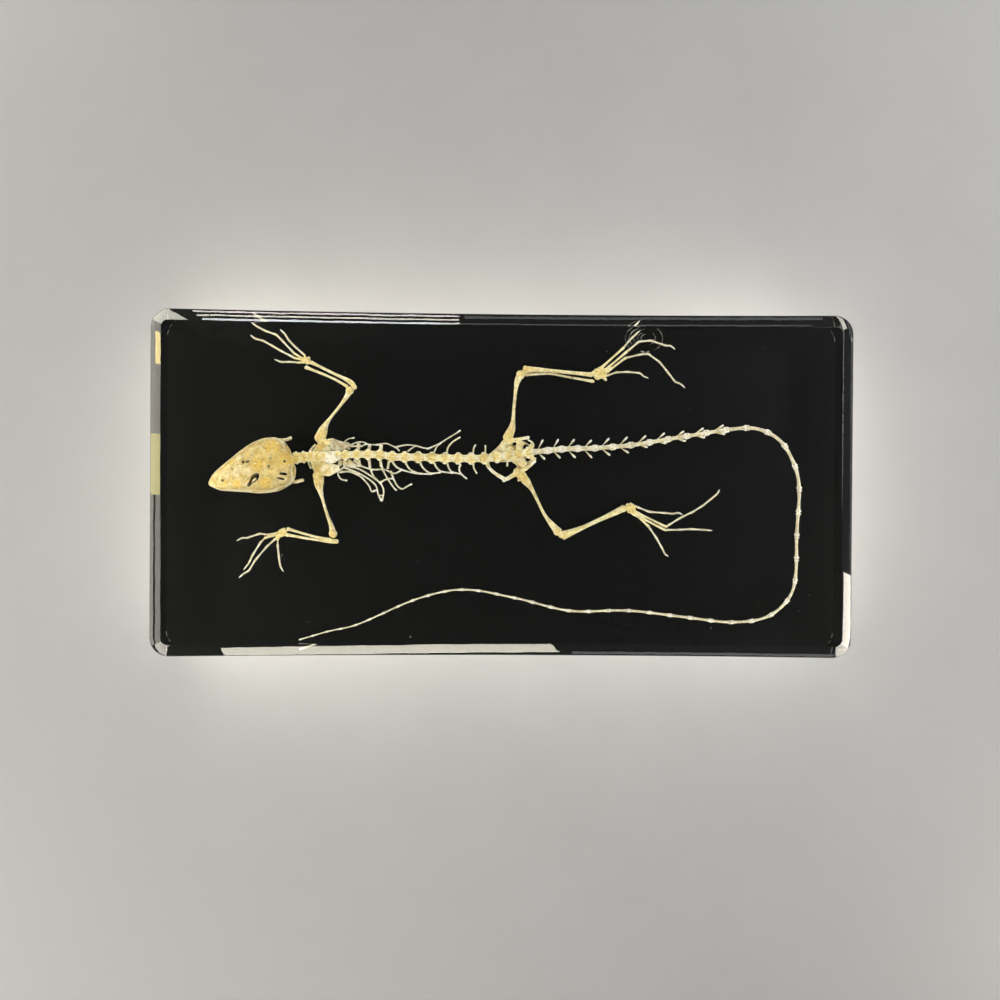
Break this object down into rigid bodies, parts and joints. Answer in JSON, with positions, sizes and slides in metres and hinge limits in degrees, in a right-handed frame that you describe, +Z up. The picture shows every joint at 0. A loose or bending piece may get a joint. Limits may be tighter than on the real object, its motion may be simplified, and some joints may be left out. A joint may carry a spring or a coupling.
{
  "type": "lizard skeleton in acrylic block",
  "caption": "Whole skeleton of a long-tailed agamid lizard, back up and tail curled round, cast in a clear rounded block on a black back, to be laid down and looked at.",
  "frame": {"origin": "middle of the block's underside, which is the flat face of its black back", "axes": "+X along the block from the snout's end to the bend of the tail, +Y to the animal's right side, +Z up out of the clear front face, which the animal's back faces"},
  "size_m": [0.2, 0.0984, 0.025],
  "materials": {
    "clear_acrylic": "cast and polished clear acrylic",
    "black_acrylic": "black acrylic, cast on",
    "skull_bone": "dried bone with amber patches",
    "limb_bone": "pale yellow dried bone, amber at the joints",
    "thin_bone": "cream dried bone, slightly translucent"
  },
  "bodies": {
    "root": {"acrylic_block": "clear_acrylic", "backing_layer": "black_acrylic", "skull": "skull_bone", "mandible": "skull_bone", "spine_neck": "limb_bone", "spine_chest": "limb_bone", "spine_loin": "limb_bone", "sacrum": "limb_bone", "shoulder_left": "limb_bone", "shoulder_right": "limb_bone", "breastbone": "limb_bone", "humerus_left": "limb_bone", "radius_left": "limb_bone", "ulna_left": "limb_bone", "carpus_left": "limb_bone", "humerus_right": "limb_bone", "radius_right": "limb_bone", "ulna_right": "limb_bone", "carpus_right": "limb_bone", "pelvis_left": "limb_bone", "pelvis_right": "limb_bone", "femur_left": "limb_bone", "tibia_left": "limb_bone", "fibula_left": "limb_bone", "tarsus_left": "limb_bone", "femur_right": "limb_bone", "tibia_right": "limb_bone", "fibula_right": "limb_bone", "tarsus_right": "limb_bone", "ribs_left": "thin_bone", "ribs_right": "thin_bone", "tail_1": "thin_bone", "tail_2": "thin_bone", "tail_3": "thin_bone", "tail_4": "thin_bone", "tail_5": "thin_bone", "tail_6": "thin_bone", "tail_7": "thin_bone", "tail_8": "thin_bone", "finger_left_1": "thin_bone", "finger_left_2": "thin_bone", "finger_left_3": "thin_bone", "finger_left_4": "thin_bone", "finger_right_1": "thin_bone", "finger_right_2": "thin_bone", "finger_right_3": "thin_bone", "finger_right_4": "thin_bone", "toe_left_1": "thin_bone", "toe_left_2": "thin_bone", "toe_left_3": "thin_bone", "toe_left_4": "thin_bone", "toe_right_1": "thin_bone", "toe_right_2": "thin_bone", "toe_right_3": "thin_bone", "toe_right_4": "thin_bone"}
  },
  "joints": []
}
